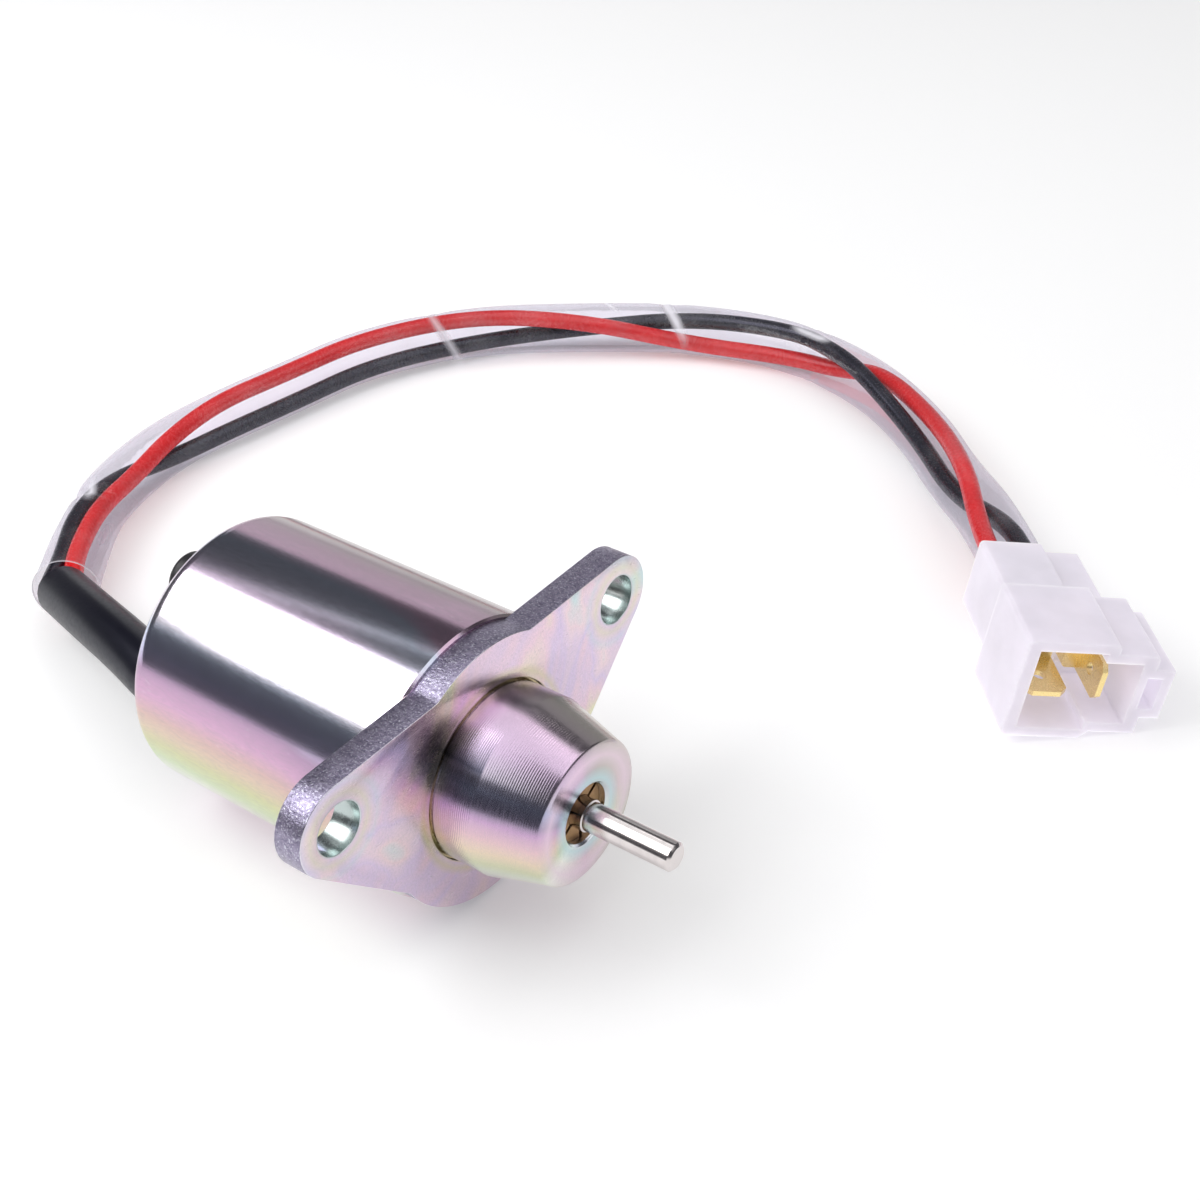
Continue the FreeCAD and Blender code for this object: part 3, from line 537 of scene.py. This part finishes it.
rodNickel = plainMetal("rodNickel", (0.75, 0.70, 0.69), 0.15, (4, 1, 1))
bushBronze = plainMetal("bushBronze", (0.42, 0.25, 0.12), 0.42)
tabMetal = plainMetal("tabMetal", (0.98, 0.78, 0.36), 0.28)
innerSteel = plainMetal("innerSteel", (0.55, 0.55, 0.56), 0.3)
tubeBrass = plainMetal("tubeBrass", (0.72, 0.55, 0.25), 0.25)
copperWinding = moulded("copperWinding", (0.42, 0.15, 0.05), 0.3, 0.5)
wrapTape = moulded("wrapTape", (0.65, 0.52, 0.16), 0.4, 0.2)
capPlastic = moulded("capPlastic", (0.012, 0.012, 0.014), 0.40, 0.3)
bobbinPlastic = moulded("bobbinPlastic", (0.05, 0.05, 0.05), 0.5, 0.4)
washerPlastic = moulded("washerPlastic", (0.75, 0.74, 0.70), 0.5, 0.3)
bootRubber = moulded("bootRubber", (0.004, 0.004, 0.010), 0.34, 0.06, Specular_IOR_Level=0.3,
                     Specular_Tint=(0.75, 0.78, 1.0))
redInsulation = moulded("redInsulation", (0.98, 0.014, 0.016), 0.26, 0.02)
blackInsulation = moulded("blackInsulation", (0.004, 0.005, 0.012), 0.26, 0.02, Specular_Tint=(0.80, 0.82, 1.0))
# Painted light: the nylon glows a little all over, lightening it and its inner faces.
glowingNylon = moulded("glowingNylon", (0.58, 0.55, 0.62), 0.36, 0.04, 0.55, Subsurface_Weight=1.0,
                       Subsurface_Scale=0.004, Subsurface_Radius=(1.0, 0.95, 0.95),
                       Emission_Color=(0.97, 0.92, 1.0), Emission_Strength=0.32)


# Painted glints, white lines at the sleeve's creases: a point on the sleeve's line, the way across the crease,
# its half width and its reach.
creaseGlints = [
    ((-0.0925, 0.0054, -0.0127), (-0.674, 0.734, -0.085), 0.0007, 0.0070),
    ((-0.1078, 0.0244, -0.0140), (0.756, 0.651, 0.068), 0.0012, 0.0062),
    ((-0.1000, 0.1050, -0.0140), (0.470, 0.767, 0.438), 0.0012, 0.0062),
    ((-0.0640, 0.1320, -0.0125), (0.571, 0.749, 0.333), 0.0013, 0.0062),
    ((-0.0360, 0.1385, -0.0110), (0.123, 0.721, 0.683), 0.0011, 0.0056),
    ((-0.0750, 0.1270, -0.0110), (0.300, 0.800, 0.500), 0.0006, 0.0035),
]


vinylSettings = {
    "clearTint": (0.917, 0.902, 0.952), "milkyTint": (0.95, 0.93, 1.0), "glossRoughness": 0.12, "ior": 1.4,
    "shineLow": 0.03, "shineHigh": 0.30, "hazeLow": 0.02, "hazeHigh": 0.44, "cloud": 0.05,
    "glintStrength": 0.95, "limit": 0.85,
}


def clearVinylMaterial():
    # A thin clear wall: light goes straight through, with soft gloss, milky edges and painted glints, white lines
    # at its creases.
    shader = Shader("clearVinyl")
    links = shader.tree.links
    vinyl = vinylSettings
    clear = shader.node("ShaderNodeBsdfTransparent", Color=vinyl["clearTint"])
    gloss = shader.node("ShaderNodeBsdfGlossy", Roughness=vinyl["glossRoughness"])
    milky = shader.node("ShaderNodeBsdfDiffuse", Color=vinyl["milkyTint"])
    normal = shader.bump(shader.noise(200, 3.0, distortion=0.8), 0.3, 0.0003)
    links.new(normal, gloss.inputs["Normal"])
    edge = shader.node("ShaderNodeFresnel", IOR=vinyl["ior"], Normal=normal)
    rim = shader.node("ShaderNodeLayerWeight", Blend=0.2)
    shine = shader.node("ShaderNodeMixShader", Fac=shader.remap(
        edge.outputs["Fac"], 0.02, 1.0, vinyl["shineLow"], vinyl["shineHigh"]))
    links.new(clear.outputs[0], shine.inputs[1])
    links.new(gloss.outputs[0], shine.inputs[2])
    cloud = shader.remap(shader.noise(120, 3.0), 0.5, 0.75, 0.0, vinyl["cloud"])
    hazeAndGlints = shader.math("ADD", cloud, shader.remap(
        rim.outputs["Facing"], 0.30, 1.0, vinyl["hazeLow"], vinyl["hazeHigh"]))
    # Painted glints: milky white added along each crease line.
    for place, along, width, reach in creaseGlints:
        away = shader.vectorMath("SUBTRACT", shader.coords, place)
        across = shader.math("ABSOLUTE", shader.vectorMath("DOT_PRODUCT", away, along, "Value"))
        near = shader.remap(across, 0.0, width, vinyl["glintStrength"], 0.0)
        held = shader.remap(shader.vectorMath("LENGTH", away, output="Value"), reach * 0.6, reach, 1.0, 0.0)
        hazeAndGlints = shader.math("ADD", hazeAndGlints, shader.math("MULTIPLY", near, held))
    cover = shader.node("ShaderNodeMixShader", Fac=shader.math("MINIMUM", hazeAndGlints, vinyl["limit"]))
    links.new(shine.outputs[0], cover.inputs[1])
    links.new(milky.outputs[0], cover.inputs[2])
    links.new(cover.outputs[0], shader.tree.nodes["Material Output"].inputs["Surface"])
    return shader.material


clearVinyl = clearVinylMaterial()

for piece, material, node in (
    (redWire, redInsulation, "red_wire"), (blackWire, blackInsulation, "black_wire"),
    (leadBoot, bootRubber, "lead_boot"), (clearSleeve, clearVinyl, "clear_sleeve"),
):
    dress(piece, material, "housing", node)

# The drawn can, open at its front end.
print("can")
canSettings = {
    "radius": 19.05, "length": 42.0, "wall": 1.4, "rearRound": 2.6, "opening": 14.9, "front": -4.0,
    "frontBreak": 0.3, "rimBreak": 0.15,
}


def arc(centre, radius, start, end, steps):
    # Points on a circle, from one angle in degrees to another.
    return [(centre[0] + radius * math.cos(math.radians(start + (end - start) * i / steps)),
             centre[1] + radius * math.sin(math.radians(start + (end - start) * i / steps)))
            for i in range(steps + 1)]


def canCorners(can):
    front, radius, wall, outer = (can[key] for key in ("front", "radius", "wall", "rearRound"))
    rear = front - can["length"]
    centre = (rear + outer, radius - outer)
    corners = [(front, radius - wall), (front, radius - can["frontBreak"]), (front - can["frontBreak"], radius)]
    corners += arc(centre, outer, 90, 180, 10)
    corners += [(rear, can["opening"] + can["rimBreak"]), (rear + can["rimBreak"], can["opening"]),
                (rear + wall, can["opening"])]
    return corners + arc(centre, outer - wall, 180, 90, 6)


dress(turnedPiece("can", canCorners(canSettings), 192), canPlate, "housing", "body_can")

# The two-eared flange.
print("flange")
flangeSettings = {
    "thickness": 4.0, "lobe": 18.5, "holeAcross": 26.2, "holeHeight": 10.3, "holeRadius": 3.4,
    "earRadius": 6.1, "blend": 2.5, "centreHole": 11.05, "seatRadius": 12.25,
    "seatDepth": 0.6, "edgeBreak": 0.3, "cutFront": 1, "cutBack": -5,
}


def flangeOutline(settings):
    # The lobe, the ears' rounded tips and the concave blends between them, from the bottom up the +Y side.
    lobe, blend, ear = settings["lobe"], settings["blend"], settings["earRadius"]
    tip = (settings["holeAcross"], settings["holeHeight"])
    top = tip[1] + ear
    flank = (tip[0] - tip[1]) / math.sqrt(2) + ear
    reach = lobe + blend
    along = math.sqrt(reach ** 2 - (flank + blend) ** 2)
    low = ((flank + blend + along) / math.sqrt(2), (along - flank - blend) / math.sqrt(2))
    high = (math.sqrt(reach ** 2 - (top + blend) ** 2), top + blend)
    lowAngle = math.degrees(math.atan2(low[1], low[0]))
    highAngle = math.degrees(math.atan2(high[1], high[0]))
    half = arc((0, 0), lobe, -90, lowAngle, 40)
    half += arc(low, blend, lowAngle + 180, 135, 6)
    half += arc(tip, ear, -45, 90, 28)
    half += arc(high, blend, 270, highAngle + 180, 6)
    half += arc((0, 0), lobe, highAngle, 90, 20)
    return half + [(-y, z) for y, z in reversed(half[1:-1])]


def plate(name, outline, front, back):
    # An outline in the YZ plane, extruded from its back face to its front face.
    piece = newPiece(name, [(back, y, z) for y, z in outline], [list(range(len(outline)))])
    bpy.ops.object.mode_set(mode="EDIT")
    bpy.ops.mesh.select_all(action="SELECT")
    bpy.ops.mesh.extrude_region_move(TRANSFORM_OT_translate={"value": ((front - back) * mm, 0, 0)})
    faceOutwards()
    return piece


def drill(piece, y, z, radius, front, back):
    bpy.ops.object.select_all(action="DESELECT")
    bpy.ops.mesh.primitive_cylinder_add(
        vertices=96, radius=radius * mm, depth=(front - back) * mm,
        location=((front + back) / 2 * mm, y * mm, z * mm), rotation=(0, math.pi / 2, 0))
    cutter = bpy.context.object
    apply(piece, "BOOLEAN", object=cutter, operation="DIFFERENCE", solver="EXACT")
    bpy.data.objects.remove(cutter)


flange = plate("flange", flangeOutline(flangeSettings), 0, -flangeSettings["thickness"])
cutFront, cutBack = flangeSettings["cutFront"], flangeSettings["cutBack"]
for side in (1, -1):
    drill(flange, side * flangeSettings["holeAcross"], flangeSettings["holeHeight"],
          flangeSettings["holeRadius"], cutFront, cutBack)
drill(flange, 0, 0, flangeSettings["centreHole"], cutFront, cutBack)
drill(flange, 0, 0, flangeSettings["seatRadius"], cutFront, -flangeSettings["seatDepth"])
soften(flange, flangeSettings["edgeBreak"], 3, 40)
dress(flange, flangePlate, "housing", "mounting_flange")

# Nose, bush and rod. Profiles are (along, radius) corners in millimetres.
print("nose")
noseSettings = {
    "back": -6.5, "backBore": 8.1, "boreBack": -3.0, "bore": 4.0, "boreBreak": 0.3,
    "shank": 11.0, "seat": -0.6, "root": 11.5, "pilotStart": -0.02, "pilot": 11.95, "pilotEnd": 5.8,
    "edgeBreak": 0.1, "fineBreak": 0.06, "coneBreak": 0.12,
    "length": 14.4, "front": 9.67, "chamferLength": 0.4, "chamferDepth": 0.7,
}


def noseCorners(nose):
    back, seat, pilot, end, tip = (nose[key] for key in ("back", "seat", "pilot", "pilotEnd", "length"))
    coneEnd = tip - nose["chamferLength"]
    return [
        (back, nose["backBore"]), (back, nose["shank"]), (seat, nose["shank"]), (seat, nose["root"]),
        (nose["pilotStart"], nose["root"]), (nose["pilotStart"], pilot - nose["edgeBreak"]),
        (nose["edgeBreak"], pilot), (end - nose["fineBreak"], pilot),
        (end + nose["edgeBreak"], pilot - nose["fineBreak"]), (coneEnd, nose["front"]),
        (coneEnd + nose["coneBreak"], nose["front"] - nose["edgeBreak"]),
        (tip, nose["front"] - nose["chamferDepth"]), (tip, nose["bore"] + nose["boreBreak"]),
        (tip - nose["boreBreak"], nose["bore"]), (nose["boreBack"], nose["bore"]),
        (nose["boreBack"], nose["backBore"]),
    ]


dress(turnedPiece("nose", noseCorners(noseSettings), 160), nosePlate, "housing", "nose_boss")

rodSettings = {
    "root": -16.4, "guide": 2.1, "step": 15.0, "radius": 1.9, "reach": 27.5, "chamfer": 0.35,
    "tipLength": 0.1, "tipOuter": 0.08, "tipInner": 0.05,
}


def rodCorners(rod):
    tip = rod["radius"] - rod["chamfer"]
    return [
        (rod["root"], 0), (rod["root"], rod["guide"]), (rod["step"] - rod["tipLength"], rod["guide"]),
        (rod["step"], rod["radius"]), (rod["reach"] - rod["chamfer"], rod["radius"]),
        (rod["reach"] - rod["tipLength"], tip + rod["tipOuter"]), (rod["reach"], tip - rod["tipInner"]),
        (rod["reach"], 0),
    ]


dress(turnedPiece("rod", rodCorners(rodSettings), 64, closed=False), rodNickel, "plunger_and_rod", "push_rod")
paint("guide_bush", bushBronze)

# Rear cap and the grommet that the lead leaves through.
print("rear")
grommetSettings = {
    "exit": (0, -7.6, -6.2), "bore": 4.15, "neck": 4.9, "collar": 5.6, "fineBreak": 0.1, "collarBreak": 0.2,
    "inside": -42.6, "capFace": -46.8, "collarStart": -47.0, "collarEnd": -47.9, "collarBack": -48.2,
    "neckEnd": -49.2, "lip": -49.3,
}


def grommetCorners(grommet):
    bore, neck, collar, fine = (grommet[key] for key in ("bore", "neck", "collar", "fineBreak"))
    return [
        (grommet["inside"], bore), (grommet["inside"], neck), (grommet["capFace"], neck),
        (grommet["capFace"], collar - grommet["collarBreak"]), (grommet["collarStart"], collar),
        (grommet["collarEnd"], collar), (grommet["collarBack"], collar - fine),
        (grommet["neckEnd"], neck + fine), (grommet["lip"], neck - fine), (grommet["lip"], bore),
    ]


dress(turnedPiece("grommet", grommetCorners(grommetSettings), 96, place=grommetSettings["exit"]), bootRubber,
      "housing", "lead_grommet")
paint("rear_cap", capPlastic)

# Plug housing and its two blades.
print("plug")
paint("connector_housing", glowingNylon)
paint("flat_tab", tabMetal)
paint("upright_tab", tabMetal)

# Inner pieces.
print("inner pieces")
for node, material in (
    ("front_plate", innerSteel), ("rear_plate", innerSteel), ("rear_pole", innerSteel),
    ("plunger", innerSteel), ("return_spring", innerSteel), ("guide_tube", tubeBrass),
    ("bobbin", bobbinPlastic), ("coil_winding", copperWinding), ("coil_wrap", wrapTape),
    ("stop_washer", washerPlastic),
):
    paint(node, material)

# Floor and light.
print("stage")
stageSettings = {"floorHeight": -0.01905, "floorSize": 4.0, "floorGap": 0.0001, "floorColour": (0.88, 0.88, 0.88),
                 "floorGlow": 0.26, "skyColour": (0.93, 0.92, 1.0), "skyGlow": 0.10}
bpy.ops.object.select_all(action="DESELECT")
bpy.ops.mesh.primitive_plane_add(size=stageSettings["floorSize"],
                                 location=(0, 0, stageSettings["floorHeight"] - stageSettings["floorGap"]))
floor = bpy.context.object
floor.name = "floor"
floorShader = Shader("paleFloor", Base_Color=stageSettings["floorColour"], Roughness=0.85,
                     Emission_Color=(1.0, 1.0, 1.0), Emission_Strength=stageSettings["floorGlow"])
floor.data.materials.append(floorShader.material)

world = bpy.data.worlds.new("studio")
scene.world = world
world.use_nodes = True
sky = world.node_tree.nodes["Background"]
sky.inputs["Color"].default_value = (*stageSettings["skyColour"], 1)
sky.inputs["Strength"].default_value = stageSettings["skyGlow"]
# Each panel: its place, what it faces, its size and how bright it looks.
lightPanels = (
    ("topPanel", (-0.56, -0.41, 0.60), (-0.56, -0.41, 0), (0.72, 0.78), 3.6),
    ("nosePanel", (-0.055, 0.185, 0.60), (-0.055, 0.185, 0), (0.55, 0.41), 1.1),
    ("noseSidePanel", (0.02, -0.41, 0.60), (0.02, -0.41, 0), (0.40, 0.78), 1.15),
    ("wallPanel", (-1.05, 1.00, 0.36), (-1.05, 0, 0.36), (1.0, 0.72), 0.70),
    ("wallSidePanel", (-0.05, 1.00, 0.36), (-0.05, 0, 0.36), (1.0, 0.72), 0.30),
    ("rightPanel", (0.70, 0.32, 0.78), (0.1, 0.1, 0), (0.8, 0.9), 1.25),
    ("nearStrip", (-0.40, -0.85, 0.46), (0, 0, 0), (1.3, 0.02), 0.7),
    ("farStrip", (-0.40, 0.42, 0.78), (0, 0, 0), (1.3, 0.05), 1.0),
)
for name, place, target, size, brightness in lightPanels:
    bpy.ops.object.light_add(type="AREA", location=place)
    light = bpy.context.object
    light.name = name
    light.data.shape = "RECTANGLE"
    light.data.size, light.data.size_y = size
    light.data.energy = brightness * math.pi * size[0] * size[1]
    light.rotation_euler = (Vector(target) - Vector(place)).to_track_quat("-Z", "Y").to_euler()
scene.view_settings.view_transform = "Standard"
